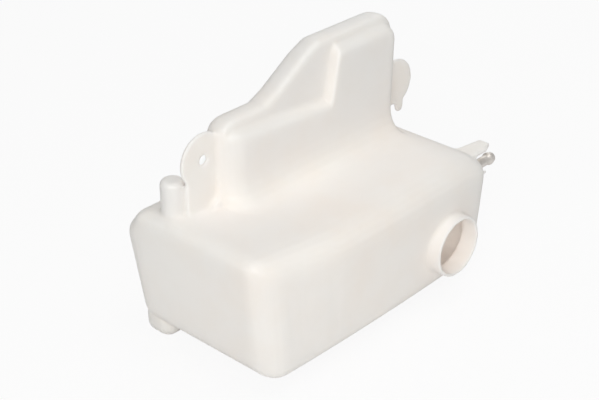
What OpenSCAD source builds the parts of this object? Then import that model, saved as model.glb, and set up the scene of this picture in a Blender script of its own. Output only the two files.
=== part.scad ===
// Coolant expansion tank: one blow-moulded shell, with a metal hose nipple moulded into its right end.
// Millimetres. X runs along the tank to the right, Y from the filler neck to the back, Z up.
// The origin is the fixing hole of the left ear, in the mould's parting plane.

/* [Box] */
// Length of the box along its foot
box_len = 301; // [294:1:340]
// Depth of the box along its foot
box_depth = 166; // [158:1:190]
// Height of the box's flat top above its bottom
box_h = 124; // [116:1:136]
// How far the front wall leans out at the top
front_lean = 10; // [0:0.5:16]
// How far the front wall bows out between its two ends
front_bow = 3; // [0:0.5:6]
// How far the front wall draws back at the top of its left end
corner_ease = 13; // [0:1:16]
// Length along the front over which it does so
ease_len = 92; // [60:1:110]
// How far the left wall leans out at the top
left_lean = 10; // [0:0.5:16]
// How far the back wall leans out
back_lean = 17; // [0:0.5:20]
// Height at which the back wall has leant out fully
back_knee_z = 58; // [40:1:64]
// Rounding of the box's front top edge
top_round = 24; // [12:1:28]
// Rounding of the box's left top edge
left_top_round = 12; // [8:1:18]
// Width of the slope along the top back edge
back_slope = 22; // [16:1:30]
// Height of that slope
back_slope_h = 34; // [26:1:46]
// How far the box's top falls towards its right end
end_fall = 10.5; // [0:0.5:12]
// Length over which it falls
end_fall_len = 60; // [40:1:80]
// Rounding of the box's bottom edges
bottom_round = 18; // [12:1:24]
// Rounding of the box's left end
left_round = 23; // [14:1:28]
// Rounding of the box's right end
right_round = 27; // [20:1:30]

/* [Wall] */
// Thickness of the moulded wall
wall = 3; // [2:0.25:4]
// Thickness of the flat ears and tab
ear_t = 4; // [3:0.5:6]

/* [Upper chamber] */
// Distance from the box's front foot to the chamber's front face
chamber_y = 90; // [80:1:98]
// Depth of the chamber from front to back
chamber_depth = 36; // [33:1:42]
// Distance of the mould's parting plane behind the chamber's front face
seam_in = 20; // [17:1:22]
// Left end of the low shoulder
shoulder_x = 49; // [46:1:60]
// Height of the low shoulder above the box's bottom
shoulder_z = 201; // [185:1:205]
// Where the sloping edge leaves the shoulder
slope_x = 105; // [95:1:112]
// Where the sloping edge reaches the high part
high_x = 166; // [152:1:172]
// Height of the high part above the box's bottom
high_z = 240; // [225:1:250]
// How far the high part's top falls to the right
top_fall = 0.5; // [0:0.5:12]
// Distance of the chamber's right end from the box's right end
chamber_end_in = 29; // [26:1:45]
// How far the chamber's right end draws in towards its foot
end_lean = 4.5; // [0:0.5:6]
// Rounding of the chamber's upper right corner
peak_round = 20; // [12:1:26]
// Rounding of the chamber's long top edge at the back
crown_round = 16; // [8:1:20]
// Rounding of the chamber's upright corners
chamber_round = 11; // [8:1:14]
// Rounding of its upright corner at the front left
front_round = 22; // [11:1:28]
// Rounding where the chamber's front rises from the box's top
root_round = 26; // [10:1:32]
// Rounding where the chamber's left end rises from the box's top
left_root = 14; // [6:1:18]
// Rounding where the chamber's right end rises from the box's top
right_root = 5; // [3:1:8]
// Rounding of the chamber's long top edge at the front
brow_round = 6.5; // [4:0.5:6.5]
// Rounding where the chamber's back rises from the ledge behind it
back_root = 12; // [6:1:14]
// Depth of the recessed panel beside the raised front
recess = 10; // [8:1:15]
// Height of the raised front's left end, under the recessed panel
raised_z = 194; // [175:1:194]
// How far that edge falls to the right
raised_fall = 11; // [0:1:20]
// Rounding of that edge
raised_round = 6; // [3:0.5:6]
// Rounding between that edge and the recessed panel
panel_root = 4; // [2:0.5:4]
// How much lower that edge lies at the front than at the panel
ledge_fall = 5; // [0:0.5:8]
// Left foot of the raised front's high part
raised_x = 176; // [165:1:188]
// How far that edge leans to the right on its way up
raised_lean = 12; // [5:1:24]
// How far the raised front's top edge lies under the chamber's top
front_drop = 7; // [3:0.5:12]

/* [Filler neck] */
// Distance of the neck's axis from the box's right end
neck_side = 69; // [55:1:85]
// Height of the neck's axis above the box's bottom
neck_z = 49; // [42:1:60]
// Outside diameter of the neck at its mouth
neck_d = 60; // [50:1:64]
// How far the mouth stands out from the box's front foot
neck_out = 20; // [15:1:30]
// Rounding where the neck leaves the front wall
neck_root = 4; // [2:0.5:8]

/* [Back stub] */
// Diameter of the closed stub behind the left ear
stub_d = 22; // [16:1:26]
// Distance of the stub's axis from the box's left end
stub_x = 11; // [9:1:20]
// Distance of the stub's axis behind the parting plane
stub_back = 15; // [13:1:20]
// Height of the stub above the box's top
stub_h = 32; // [20:1:40]
// Rounding of the stub's upper edge
stub_round = 5; // [4:0.5:8]

/* [Foot] */
// Radius of the rounded foot under the back left corner
foot_r = 12; // [10:0.5:14]
// How far the foot reaches below the box's bottom
foot_drop = 13.5; // [6:0.5:15]
// Distance of the foot's left end from the box's left end
foot_x = 4; // [1:0.5:8]
// Length of the foot to the right
foot_len = 38; // [34:1:46]
// Width of the foot from front to back
foot_w = 34; // [28:1:50]

/* [Left ear] */
// Distance of the fixing hole from the box's left end
hole_x = 33; // [26:1:38]
// Height of the fixing hole above the box's bottom
hole_z = 171; // [160:1:180]
// Diameter of the fixing hole
hole_d = 9; // [6:0.5:12]
// Radius of the ear round the fixing hole
ear_r = 25.5; // [18:0.5:28]

/* [Right ear] */
// Distance of the right ear's centre from the box's right end
hook_side = 10; // [4:1:14]
// Height of the right ear's centre above the box's bottom
hook_z = 156; // [148:1:165]
// Radius of the right ear
hook_r = 24.5; // [20:0.5:27]
// Width of the slot that opens downwards
slot_w = 13; // [8:0.5:14]
// Height of the centre of the slot's round end above the box's bottom
slot_z = 127.5; // [124:0.5:136]
// Distance of the slot's middle to the left of the ear's centre
slot_in = 3.5; // [0:0.5:6]
// Width of the prong outside the slot
prong_w = 10; // [6:0.5:12]
// How far the prong reaches below the centre of the slot's round end
prong_len = 4.5; // [3:0.5:8]

/* [End tab] */
// How far the flat tab reaches out of the right end
tab_out = 16.5; // [10:0.5:24]
// Width of the tab's outer end
tab_w = 12; // [8:1:18]
// Distance of the tab's outer end from the box's front foot
tab_y = 12; // [8:1:18]
// Depth of the tab's top below the box's top
tab_drop = 9; // [6:0.5:14]

/* [Hose nipple] */
// Outside diameter of the nipple's tube
nipple_d = 10; // [8:0.5:12]
// Bore of the nipple
nipple_bore = 6.5; // [4:0.25:7]
// Diameter of the bead near the nipple's tip
bead_d = 12.5; // [11:0.25:14]
// How far the nipple stands out of the end wall
nipple_out = 20; // [16:1:30]
// Length of the nipple behind the end wall's outer face
nipple_in = 8; // [6:0.5:14]
// Length of the bead, from its first edge to its last
bead_len = 9; // [7:0.5:11]
// Distance of the nipple's axis from the box's front foot
nipple_y = 12; // [8:1:20]
// Depth of the nipple's axis below the box's top
nipple_drop = 26; // [22:1:36]

/* [Hidden] */
gap = 0.05;
least = 0.3;
$fn = 96;

natural = [0.93, 0.92, 0.89];
seat_gap = 0.05;
bite = 10;
chamber_end_x = box_len - chamber_end_in;
neck_x = box_len - neck_side;
hook_x = box_len - hook_side;
nipple_z = box_h - nipple_drop;
seam_y = chamber_y + seam_in;
chamber_back_y = chamber_y + chamber_depth;
soft_pts = 5;
arc_pts = 6;
root_pts = 3;
inner_pts = 3;
slope_pts = 4;
lean_reach = 70;
least_slope = 2;
station_in = 5;
crown_share = 0.7;
brow_share = 0.28;
edge_share = 0.6;
flank_share = 0.45;
soft_share = 0.7;
least_reach = 1.5;
high_pts = 4;
foot_out = 1;
nub_d = 4;
nub_y = 5;
nub_out = 2;
nub_drop = 6;
shoulder_round = chamber_round * 1.5;

function clamp(v, lo, hi) = min(max(v, lo), hi);
function mix(a, b, t) = a + (b - a) * t;
// How far a rounded end of radius r has drawn in at a distance d from its tip
function draw_in(d, r) = r - sqrt(max(r * r - pow(r - clamp(d, 0, r), 2), 0));

// Height of the chamber's skin at x, and of the raised front's top edge. off is the depth under the skin.
function in_chamber(x, off) = x > shoulder_x + off && x < chamber_end_x - off;
// How far the skin has risen beside an end of the chamber, at a distance d from it
function root_rise(d, r) = d < 0 || d >= r ? 0 : r - sqrt(r * r - pow(r - d, 2));
function part_way(x, a, b) = clamp((x - a) / (b - a), 0, 1);
function slope_z(x) =
    mix(shoulder_z, high_z, part_way(x, slope_x, high_x)) - top_fall * part_way(x, high_x, chamber_end_x);
function chamber_top(x, off) =
    slope_z(x) - off - max(draw_in(x - shoulder_x - off, shoulder_round - off),
                           draw_in(chamber_end_x - off - x, peak_round - off));
function raised_top(x, off) =
    min(chamber_top(x, off) - front_drop,
        mix(raised_z - raised_fall * part_way(x, shoulder_x, raised_x),
            high_z, part_way(x - off, raised_x, raised_x + raised_lean)) - off);

// Corners of the tank's section at x, as [y, z, reach of the softening]. e is the end's rounding.
function corners(x, off, e) =
    let (
        inside = in_chamber(x, off),
        end_in = !inside ? chamber_round - off : max(
            draw_in(x - shoulder_x - off, chamber_round - off),
            draw_in(chamber_end_x - off - x, chamber_round - off)),
        front_in = !inside ? end_in : max(end_in, draw_in(x - shoulder_x - off, front_round - off)),
        fall = end_fall * pow(part_way(x, box_len - end_fall_len, box_len), 2),
        top = box_h - fall - end_drop(x, off) - off,
        left_rise = root_rise(shoulder_x + off - x, left_root + off),
        right_rise = root_rise(x - chamber_end_x + off, right_root + off),
        zt = max(inside ? chamber_top(x, off) : top + left_rise + right_rise, top + least * 2),
        zs = clamp(inside ? raised_top(x, off) : zt, top + least, zt - least),
        yf = chamber_y + front_in + off,
        yu = max(chamber_y + recess + off, yf + 1),
        yb = chamber_back_y - end_in - off,
        back = box_depth - e - off,
        slope = max(back_slope - e, least_slope),
        slope_h = max(back_slope_h - e, least_slope),
        slope_reach = slope * edge_share,
        rise = zt - top,
        flank = rise * flank_share,
        ledge_drop = min(ledge_fall, (zs - top) * edge_share),
        foot = max(bottom_round - off - e, least_reach)
    )
    [
        [e + off, e + off, foot],
        [back, e + off, foot],
        [back, top - slope_h, slope_reach],
        [back - slope, top, slope_reach],
        [yb, top, min(back_root, flank)],
        [yb, zt, min(crown_round - off, flank, (yb - yu) * crown_share)],
        [yu, zt, min(brow_round - off / 2, flank, (yb - yu) * brow_share)],
        [yu, zs, min(panel_root, (zt - zs) * flank_share, (yu - yf) * (1 - edge_share))],
        [yf, zs - ledge_drop, min(raised_round - off / 2, (zs - top) * flank_share, (yu - yf) * edge_share)],
        [yf, top, min(root_round - off, flank)],
        [e + off, top, max(top_round - off - e, least_reach)]
    ];

// A softened corner: a curve from a reach before the corner to a reach after it
function unit(v) = v / max(norm(v), gap / 10);
function soft(a, p, b, reach, n) =
    let (
        d = min(reach, norm(a - p) * soft_share, norm(b - p) * soft_share),
        s = p + unit(a - p) * d,
        f = p + unit(b - p) * d
    )
    [for (i = [0:n]) let (t = i / n) (1 - t) * (1 - t) * s + 2 * t * (1 - t) * p + t * t * f];
function place(c) = [c[0], c[1]];
function outline(cs, n) =
    let (m = len(cs))
    [for (i = [0:m - 1])
        each soft(place(cs[(i + m - 1) % m]), place(cs[i]), place(cs[(i + 1) % m]), cs[i][2], n)];

// How far the front wall stands out at x, at the share h of the box's height
function front_shift(x, h) =
    front_lean * h + front_bow * sin(180 * part_way(x, 0, box_len))
        - corner_ease * h * (1 + cos(180 * part_way(x, 0, ease_len))) / 2;

// How far the chamber's right end and what surrounds it draw in at a height z
function end_shift(x, z) =
    end_lean * min(part_way(x, raised_x + raised_lean, chamber_end_x), part_way(x, box_len, chamber_end_x))
        * min(part_way(z, box_h - end_fall * 2, box_h - end_fall), part_way(z, high_z, box_h));

// The mould's draught: front, left and back walls lean out towards the top
function draught(p) =
    let (h = clamp(p[2] / box_h, 0, 1))
    [p[0] - left_lean * h * part_way(p[0], lean_reach, 0) - end_shift(p[0], p[2]),
     p[1] - front_shift(p[0], h) * part_way(p[1], lean_reach, 0)
          + back_lean * part_way(p[2], 0, back_knee_z) * part_way(p[1], chamber_back_y, box_depth),
     p[2]];

// How far the walls draw in towards the rounded ends, and how far the top falls there
function end_inset(x, off) =
    max(draw_in(x - off, left_round - off), draw_in(box_len - off - x, right_round - off));
function end_drop(x, off) =
    max(draw_in(x - off, left_top_round - off), draw_in(box_len - off - x, right_round - off));

// Distances from the tip of a rounded end at which it turns by equal angles
function turns(r, n) = [for (i = [0:n]) r * (1 - cos(90 * i / n))];
function sorted(v) =
    len(v) < 2 ? v :
    let (
        p = v[floor(len(v) / 2)],
        less = [for (a = v) if (a < p - gap) a],
        more = [for (a = v) if (a > p + gap) a]
    )
    concat(sorted(less), [p], sorted(more));

// The sections' places along the tank
function stations(off, n) = sorted(concat(
    [for (d = turns(left_round - off, n)) off + d],
    [for (d = turns(left_top_round - off, root_pts)) off + d],
    [for (d = turns(left_root + off, root_pts)) shoulder_x + off - gap - d],
    [for (d = turns(shoulder_round - off, n)) shoulder_x + off + gap + d],
    [mix(shoulder_x + shoulder_round, slope_x - station_in, 0.5)],
    [for (i = [0:slope_pts]) mix(slope_x - station_in, raised_x - station_in, i / slope_pts)],
    [for (i = [0:slope_pts]) raised_x + off + raised_lean * i / slope_pts],
    [for (i = [1:high_pts - 1]) mix(raised_x + off + raised_lean, chamber_end_x - peak_round, i / high_pts)],
    [for (d = turns(peak_round - off, n)) chamber_end_x - off - gap - d],
    [for (d = turns(right_root + off, root_pts)) chamber_end_x - off + gap + d],
    [for (d = turns(right_round - off, n)) if (d < chamber_end_in - right_root / 2) box_len - off - d]
));

// The tank's skin, or at a depth off under it, swept through its sections from left to right
module skin(off, corner_n, end_n) {
    rings = [for (x = stations(off, end_n))
        [for (p = outline(corners(x, off, end_inset(x, off)), corner_n)) draught([x, p[0], p[1]])]];
    m = len(rings[0]);
    k = len(rings);
    sides = [for (i = [0:k - 2], j = [0:m - 1])
        let (a = i * m + j, b = i * m + (j + 1) % m)
        each [[a, b + m, b], [a, a + m, b + m]]];
    left_cap = [for (j = [0:m - 1]) j];
    right_cap = [for (j = [m - 1:-1:0]) (k - 1) * m + j];
    polyhedron([for (r = rings) each r], concat([left_cap], sides, [right_cap]));
}

module from_fixing_hole() {
    translate([-hole_x, -seam_y, -hole_z])
        children();
}

// A flat plate in the parting plane, drawn as seen from the front
module in_seam() {
    translate([0, seam_y + ear_t / 2, 0])
        rotate([90, 0, 0])
        linear_extrude(ear_t)
        children();
}

ear_foot_in = 5;
ear_shoulder = 6;
module left_ear() {
    to_chamber = shoulder_x + wall - hole_x;
    in_seam() translate([hole_x, hole_z]) {
        circle(ear_r);
        translate([ear_foot_in - ear_r, box_h - bite - hole_z])
            square([to_chamber + ear_r - ear_foot_in, hole_z - box_h + bite]);
        square([to_chamber, ear_r - ear_shoulder]);
    }
}

// Its slot opens downwards, so that the ear hooks over a stud
slot_x = hook_x - slot_in;
prong_x = slot_x + slot_w / 2;
prong_tip = slot_z - prong_len + prong_w / 2;
web_x = chamber_end_x - end_lean - wall;
module right_ear() {
    in_seam() difference() {
        union() {
            translate([hook_x, hook_z])
                circle(hook_r);
            translate([web_x, box_h - bite])
                square([hook_x - web_x, hook_z + hook_r - ear_shoulder - box_h + bite]);
            translate([prong_x, prong_tip])
                square([prong_w, slot_w / 2 + prong_w]);
            translate([prong_x + prong_w / 2, prong_tip])
                circle(prong_w / 2);
        }
        translate([slot_x, slot_z])
            circle(slot_w / 2);
        translate([slot_x - slot_w / 2, slot_z - hook_r * 2])
            square([slot_w, hook_r * 2]);
    }
}

// Body of the neck with a rounded root
module neck_outside() {
    r = neck_d / 2;
    flare_r = r + neck_root;
    free = neck_out - front_shift(neck_x + flare_r, (neck_z - flare_r) / box_h) - neck_root;
    translate([neck_x, -neck_out, neck_z])
        rotate([-90, 0, 0])
        rotate_extrude()
        difference() {
            square([flare_r, neck_out + wall * 2]);
            translate([r, -1])
                square([neck_root + 1, free + 1]);
            translate([flare_r, free])
                circle(neck_root);
        }
}

module neck_bore() {
    translate([neck_x, -neck_out - 1, neck_z])
        rotate([-90, 0, 0])
        cylinder(r = neck_d / 2 - wall, h = neck_out + wall + bite);
}

// Flat tab on the right end's upper edge
module end_tab() {
    root_x = box_len - right_round;
    slant = tab_w * 0.4;
    translate([0, 0, box_h - tab_drop - ear_t])
        linear_extrude(ear_t)
        polygon([[root_x, tab_y - slant], [box_len + slant, tab_y - slant], [box_len + tab_out, tab_y],
                 [box_len + tab_out, tab_y + tab_w], [box_len - right_round / 2, tab_y + tab_w + slant],
                 [root_x, tab_y + tab_w + slant]]);
}

// A plug with its upper edge rounded
module plug(r, q, h) {
    rotate_extrude() {
        square([r, h - q]);
        square([r - q, h]);
        translate([r - q, h - q])
            intersection() {
                circle(q);
                square(q);
            }
    }
}

// Closed stub on the back ledge, behind the left ear
module stub(off) {
    translate([stub_x, seam_y + stub_back, box_h - back_slope])
        plug(stub_d / 2 - off, stub_round - min(off, stub_round - 1), stub_h + back_slope - off);
}

// Foot under the back left corner, rounded all over
foot_back = box_depth + foot_out;
module foot() {
    hull()
        for (x = [foot_x + foot_r, foot_x + foot_len - foot_r],
             y = [foot_back - foot_w + foot_r, foot_back - foot_r],
             z = [foot_r - foot_drop, foot_r + bottom_round - foot_drop / 2])
            translate([x, y, z])
                sphere(foot_r, $fn = 24);
}

// Round hollow in the foot, open to the box
module foot_hollow() {
    r = foot_w / 2 - wall * 2;
    translate([foot_x + foot_len / 2, foot_back - foot_w / 2, bottom_round])
        mirror([0, 0, 1])
        plug(r, r / 2, bottom_round + foot_drop - wall);
}

// Small moulding nub on the right end
module nub() {
    translate([box_len - right_round / 3, nub_y, nipple_z - nub_drop])
        rotate([0, 90, 0])
        cylinder(d = nub_d, h = right_round / 3 + nub_out);
}

module nipple_seat() {
    translate([box_len - nipple_in - wall, nipple_y, nipple_z])
        rotate([0, 90, 0])
        cylinder(r = nipple_d / 2, h = nipple_in + wall + nipple_out);
}

module tank() {
    color(natural)
    from_fixing_hole()
    difference() {
        union() {
            skin(0, soft_pts, arc_pts);
            left_ear();
            right_ear();
            neck_outside();
            end_tab();
            stub(0);
            foot();
            nub();
        }
        skin(wall, inner_pts, inner_pts);
        stub(wall);
        foot_hollow();
        neck_bore();
        translate([hole_x, seam_y, hole_z])
            rotate([90, 0, 0])
            cylinder(d = hole_d, h = ear_t * 3, center = true);
        nipple_seat();
    }
}

// Drawn tube with a bead that keeps the hose on
module hose_nipple() {
    r = nipple_d / 2;
    bead_r = bead_d / 2;
    len = nipple_in + nipple_out;
    color([0.66, 0.64, 0.60])
    from_fixing_hole()
    translate([box_len - nipple_in, nipple_y, nipple_z])
        rotate([0, 90, 0])
        rotate_extrude()
        difference() {
            union() {
                square([r - seat_gap, len]);
                translate([0, len - bead_len])
                    polygon([[0, 0], [r - seat_gap, 0], [bead_r, bead_len / 3], [bead_r, bead_len / 2],
                             [r - seat_gap, bead_len], [0, bead_len]]);
            }
            translate([0, -1])
                square([nipple_bore / 2, len + 2]);
        }
}

tank();
hose_nipple();
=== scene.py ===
import math

import bpy
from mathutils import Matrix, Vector


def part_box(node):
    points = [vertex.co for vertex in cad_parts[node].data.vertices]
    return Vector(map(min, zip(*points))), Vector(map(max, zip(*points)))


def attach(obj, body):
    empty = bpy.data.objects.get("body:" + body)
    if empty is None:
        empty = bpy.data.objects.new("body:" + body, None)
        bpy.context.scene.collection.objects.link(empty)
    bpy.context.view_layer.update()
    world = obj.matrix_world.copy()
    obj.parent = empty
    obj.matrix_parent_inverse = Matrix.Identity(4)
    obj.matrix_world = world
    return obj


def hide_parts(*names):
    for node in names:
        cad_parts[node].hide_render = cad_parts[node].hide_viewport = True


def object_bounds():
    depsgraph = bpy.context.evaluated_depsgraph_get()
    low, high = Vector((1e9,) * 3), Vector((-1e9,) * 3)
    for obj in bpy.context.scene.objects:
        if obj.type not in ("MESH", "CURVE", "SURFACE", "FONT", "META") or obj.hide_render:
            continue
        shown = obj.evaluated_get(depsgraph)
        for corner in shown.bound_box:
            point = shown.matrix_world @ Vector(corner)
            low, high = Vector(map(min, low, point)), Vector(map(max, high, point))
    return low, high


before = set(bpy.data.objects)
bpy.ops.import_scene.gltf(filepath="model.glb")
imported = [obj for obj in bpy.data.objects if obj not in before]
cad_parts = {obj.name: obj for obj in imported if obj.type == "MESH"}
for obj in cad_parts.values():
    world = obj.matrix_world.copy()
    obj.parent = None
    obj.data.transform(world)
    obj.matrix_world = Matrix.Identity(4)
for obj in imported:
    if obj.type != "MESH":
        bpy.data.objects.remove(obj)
cad_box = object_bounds()

MM = 0.001
WHITE = (1, 1, 1, 1)

# The photograph's view: a long lens from the front left and above
CAMERA_PLACE = (-0.7202, -0.7715, 0.5491)
CAMERA_TURN = (math.radians(60.8), 0, math.radians(-47.5))
CAMERA_LENS = 84.14
SENSOR = 36

# Lamps outside the tank, each with its name, place, width and power
LAMPS = [
    ("overhead", (0.25, -0.45, 1.5), 1.2, 6.9),
    ("right_rear", (1.35, 0.75, 0.7), 1.0, 3),
    ("key", (-1.22, -1.08, 0.88), 0.7, 16),
]
WORLD_LEVEL = 0.34

# Lamp in the hollow, for the light that the milky walls let in all round
WALL_LIGHT_PLACE = (0.10, -0.02, -0.10)
WALL_LIGHT_RADIUS = 30 * MM
WALL_LIGHT_POWER = 0.09

FLOOR_SIZE = 12
FLOOR_GREY = (0.86, 0.86, 0.86, 1)
# Share of the floor's look that is plain white to the camera; the rest shows the shadow
FLOOR_WHITE = 0.9
# Gap that keeps the floor just under the tank's foot
FOOT_GAP = 0.2 * MM

# Remeshing that gives the moulded shell its soft blends
WELD = 0.02 * MM
VOXEL = 1.3 * MM
SMOOTH_SHARE = 0.5
SMOOTH_PASSES = 10
KEPT_FACES = 0.27

# Plastic: noises with scales per metre, and colours at places along them
PLASTIC_NOISES = {
    "clouds": {"scale": 9, "detail": 2, "roughness": 0.4},
    "mottle": {"scale": 34, "detail": 3, "roughness": 0.5},
    "sheen": {"scale": 60, "detail": 3, "roughness": 0.5},
    "flow": {"scale": 38, "detail": 2, "roughness": 0.4},
    "grain": {"scale": 1400, "detail": 2, "roughness": 0.6},
}
CLOUD_COLOURS = [
    (0.32, (0.962, 0.878, 0.828)),
    (0.50, (0.966, 0.895, 0.852)),
    (0.68, (0.966, 0.904, 0.862)),
]
MOTTLE_COLOURS = [
    (0.35, (0.992, 0.987, 0.980)),
    (0.60, (1.0, 1.0, 1.0)),
]
PLASTIC_ROUGHNESS = (0.34, 0.52)
FLOW_STRENGTH = 0.25
FLOW_DEPTH = 0.5 * MM
GRAIN_STRENGTH = 0.12
GRAIN_DEPTH = 0.12 * MM
PLASTIC_IOR = 1.5
PLASTIC_SHINE = 0.35
# How far light spreads in the plastic, the same for each colour
SPREAD = 4 * MM

# Metal of the hose nipple
METAL_NOISES = {
    "tarnish": {"scale": 180, "detail": 3},
    "sheen": {"scale": 400, "detail": 2},
    "lines": {"scale": 900, "detail": 2, "stretch": (1, 0.05, 0.05)},
}
TARNISH_COLOURS = [
    (0.35, (0.74, 0.70, 0.65)),
    (0.65, (0.90, 0.86, 0.81)),
]
METAL_ROUGHNESS = (0.28, 0.46)
METAL_SHARE = 0.6
LINE_STRENGTH = 0.3
LINE_DEPTH = 0.05 * MM


def deselect_all():
    if bpy.context.object and bpy.context.object.mode != "OBJECT":
        bpy.ops.object.mode_set(mode="OBJECT")
    bpy.ops.object.select_all(action="DESELECT")


def make_active(piece):
    deselect_all()
    piece.select_set(True)
    bpy.context.view_layer.objects.active = piece


def apply_modifier(piece, kind, **values):
    make_active(piece)
    modifier = piece.modifiers.new(kind.lower(), kind)
    for name, value in values.items():
        setattr(modifier, name, value)
    bpy.ops.object.modifier_apply(modifier=modifier.name)


def node_material(name):
    material = bpy.data.materials.new(name)
    material.use_nodes = True
    tree = material.node_tree
    return material, tree, tree.nodes["Principled BSDF"]


def add_node(tree, kind, **inputs):
    """New node; an input's name has an underscore for each space."""
    node = tree.nodes.new(kind)
    for name, value in inputs.items():
        node.inputs[name.replace("_", " ")].default_value = value
    return node


def noise(tree, place, scale, detail, roughness=0.5, stretch=None):
    if stretch:
        mapping = add_node(tree, "ShaderNodeMapping", Scale=stretch)
        tree.links.new(place, mapping.inputs["Vector"])
        place = mapping.outputs["Vector"]
    node = add_node(tree, "ShaderNodeTexNoise", Scale=scale, Detail=detail, Roughness=roughness)
    tree.links.new(place, node.inputs["Vector"])
    return node.outputs["Fac"]


def object_noises(tree, kinds):
    """The named noises of a material, all on the piece's own coordinates."""
    place = tree.nodes.new("ShaderNodeTexCoord").outputs["Object"]
    return {name: noise(tree, place, **values) for name, values in kinds.items()}


def ramp(tree, value, stops):
    node = tree.nodes.new("ShaderNodeValToRGB")
    elements = node.color_ramp.elements
    while len(elements) < len(stops):
        elements.new(0.5)
    for element, (position, colour) in zip(elements, stops):
        element.position = position
        element.color = (*colour, 1)
    tree.links.new(value, node.inputs["Fac"])
    return node.outputs["Color"]


def multiply_colours(tree, a, b):
    node = tree.nodes.new("ShaderNodeMix")
    node.data_type = "RGBA"
    node.blend_type = "MULTIPLY"
    node.inputs["Factor"].default_value = 1.0
    tree.links.new(a, node.inputs["A"])
    tree.links.new(b, node.inputs["B"])
    return node.outputs["Result"]


def value_range(tree, value, limits):
    low, high = limits
    node = add_node(tree, "ShaderNodeMapRange", To_Min=low, To_Max=high)
    tree.links.new(value, node.inputs["Value"])
    return node.outputs["Result"]


def bump(tree, height, strength, distance, under=None):
    node = add_node(tree, "ShaderNodeBump", Strength=strength, Distance=distance)
    tree.links.new(height, node.inputs["Height"])
    if under:
        tree.links.new(under, node.inputs["Normal"])
    return node.outputs["Normal"]


def natural_plastic():
    """Unpigmented moulded plastic: milky, slightly warm, with a fine mould grain."""
    material, tree, shader = node_material("natural moulded plastic")
    noises = object_noises(tree, PLASTIC_NOISES)
    clouds = ramp(tree, noises["clouds"], CLOUD_COLOURS)
    mottle = ramp(tree, noises["mottle"], MOTTLE_COLOURS)
    colour = multiply_colours(tree, clouds, mottle)
    roughness = value_range(tree, noises["sheen"], PLASTIC_ROUGHNESS)
    flow = bump(tree, noises["flow"], FLOW_STRENGTH, FLOW_DEPTH)
    grain = bump(tree, noises["grain"], GRAIN_STRENGTH, GRAIN_DEPTH, under=flow)
    tree.links.new(colour, shader.inputs["Base Color"])
    tree.links.new(roughness, shader.inputs["Roughness"])
    tree.links.new(grain, shader.inputs["Normal"])
    shader.inputs["IOR"].default_value = PLASTIC_IOR
    shader.inputs["Specular IOR Level"].default_value = PLASTIC_SHINE
    shader.subsurface_method = "RANDOM_WALK"
    shader.inputs["Subsurface Weight"].default_value = 1.0
    shader.inputs["Subsurface Radius"].default_value = (1.0, 1.0, 1.0)
    shader.inputs["Subsurface Scale"].default_value = SPREAD
    return material


def drawn_metal():
    """Dull drawn tube with fine lines round its axis, as left by a lathe."""
    material, tree, shader = node_material("drawn nipple metal")
    noises = object_noises(tree, METAL_NOISES)
    tarnish = ramp(tree, noises["tarnish"], TARNISH_COLOURS)
    roughness = value_range(tree, noises["sheen"], METAL_ROUGHNESS)
    lines = bump(tree, noises["lines"], LINE_STRENGTH, LINE_DEPTH)
    tree.links.new(tarnish, shader.inputs["Base Color"])
    tree.links.new(roughness, shader.inputs["Roughness"])
    tree.links.new(lines, shader.inputs["Normal"])
    shader.inputs["Metallic"].default_value = METAL_SHARE
    return material


def moulded_tank():
    """The tank's shell with the soft blends that a blown skin has at its ears, neck and foot."""
    cad_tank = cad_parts["tank"]
    piece = bpy.data.objects.new("moulded_tank", cad_tank.data.copy())
    bpy.context.scene.collection.objects.link(piece)
    make_active(piece)
    bpy.ops.object.mode_set(mode="EDIT")
    bpy.ops.mesh.select_all(action="SELECT")
    bpy.ops.mesh.remove_doubles(threshold=WELD)
    bpy.ops.object.mode_set(mode="OBJECT")
    apply_modifier(piece, "REMESH", mode="VOXEL", voxel_size=VOXEL)
    apply_modifier(piece, "SMOOTH", factor=SMOOTH_SHARE, iterations=SMOOTH_PASSES)
    apply_modifier(piece, "DECIMATE", ratio=KEPT_FACES)
    make_active(piece)
    bpy.ops.object.shade_smooth()
    piece.data.materials.clear()
    piece.data.materials.append(natural_plastic())
    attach(piece, "root")
    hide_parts("tank")


def metal_nipple():
    """The CAD nipple as it is, in its own metal."""
    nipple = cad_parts["hose_nipple"]
    nipple.data.materials[0] = drawn_metal()


def camera_ray(tree):
    return tree.nodes.new("ShaderNodeLightPath").outputs["Is Camera Ray"]


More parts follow.
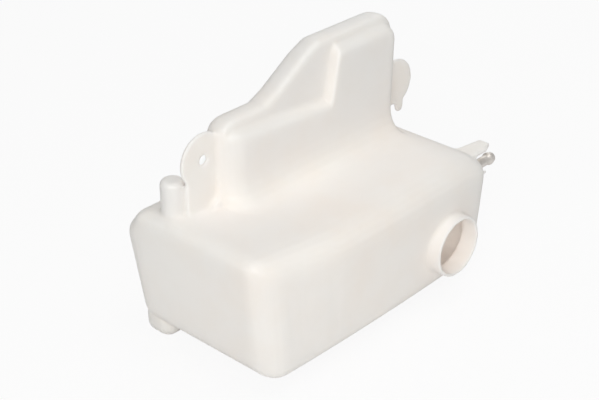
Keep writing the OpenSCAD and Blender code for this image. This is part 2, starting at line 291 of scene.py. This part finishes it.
def pale_floor(height):
    """Pale floor that shows nearly white to the camera and keeps a faint shadow."""
    deselect_all()
    bpy.ops.mesh.primitive_plane_add(size=FLOOR_SIZE, location=(0, 0, height))
    floor = bpy.context.object
    floor.name = "floor"
    material, tree, shader = node_material("pale floor")
    shader.inputs["Base Color"].default_value = FLOOR_GREY
    shader.inputs["Roughness"].default_value = 1.0
    shader.inputs["Specular IOR Level"].default_value = 0.0
    white = add_node(tree, "ShaderNodeEmission", Color=WHITE, Strength=1.0)
    seen = tree.nodes.new("ShaderNodeMath")
    seen.operation = "MULTIPLY"
    seen.inputs[1].default_value = FLOOR_WHITE
    mixed = tree.nodes.new("ShaderNodeMixShader")
    tree.links.new(camera_ray(tree), seen.inputs[0])
    tree.links.new(seen.outputs[0], mixed.inputs["Fac"])
    tree.links.new(shader.outputs["BSDF"], mixed.inputs[1])
    tree.links.new(white.outputs["Emission"], mixed.inputs[2])
    tree.links.new(mixed.outputs["Shader"], tree.nodes["Material Output"].inputs["Surface"])
    floor.data.materials.append(material)


def studio_world():
    """Even pale surroundings: white where the camera looks, at a plain level for the object."""
    world = bpy.data.worlds.new("studio")
    bpy.context.scene.world = world
    world.use_nodes = True
    tree = world.node_tree
    tree.nodes.clear()
    soft = add_node(tree, "ShaderNodeBackground", Color=WHITE, Strength=WORLD_LEVEL)
    white = add_node(tree, "ShaderNodeBackground", Color=WHITE, Strength=1.0)
    mixed = tree.nodes.new("ShaderNodeMixShader")
    out = tree.nodes.new("ShaderNodeOutputWorld")
    tree.links.new(camera_ray(tree), mixed.inputs["Fac"])
    tree.links.new(soft.outputs["Background"], mixed.inputs[1])
    tree.links.new(white.outputs["Background"], mixed.inputs[2])
    tree.links.new(mixed.outputs["Shader"], out.inputs["Surface"])


def add_lamp(name, kind, place, power):
    data = bpy.data.lights.new(name, kind)
    data.energy = power
    lamp = bpy.data.objects.new(name, data)
    lamp.location = place
    bpy.context.scene.collection.objects.link(lamp)
    return lamp


def soft_lamps():
    """Square lamps that face the middle of the tank."""
    centre = (cad_box[0] + cad_box[1]) / 2
    for name, place, width, power in LAMPS:
        lamp = add_lamp(name, "AREA", place, power)
        lamp.data.shape = "SQUARE"
        lamp.data.size = width
        lamp.rotation_euler = (centre - Vector(place)).to_track_quat("-Z", "Y").to_euler()


def wall_light():
    lamp = add_lamp("wall_light", "POINT", WALL_LIGHT_PLACE, WALL_LIGHT_POWER)
    lamp.data.shadow_soft_size = WALL_LIGHT_RADIUS


def photo_camera():
    data = bpy.data.cameras.new("camera")
    data.lens = CAMERA_LENS
    data.sensor_width = SENSOR
    camera = bpy.data.objects.new("camera", data)
    camera.location = CAMERA_PLACE
    camera.rotation_euler = CAMERA_TURN
    bpy.context.scene.collection.objects.link(camera)
    bpy.context.scene.camera = camera


photo_camera()
studio_world()
soft_lamps()
wall_light()
moulded_tank()
metal_nipple()
pale_floor(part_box("tank")[0].z - FOOT_GAP)

bpy.context.scene.view_settings.view_transform = "Standard"
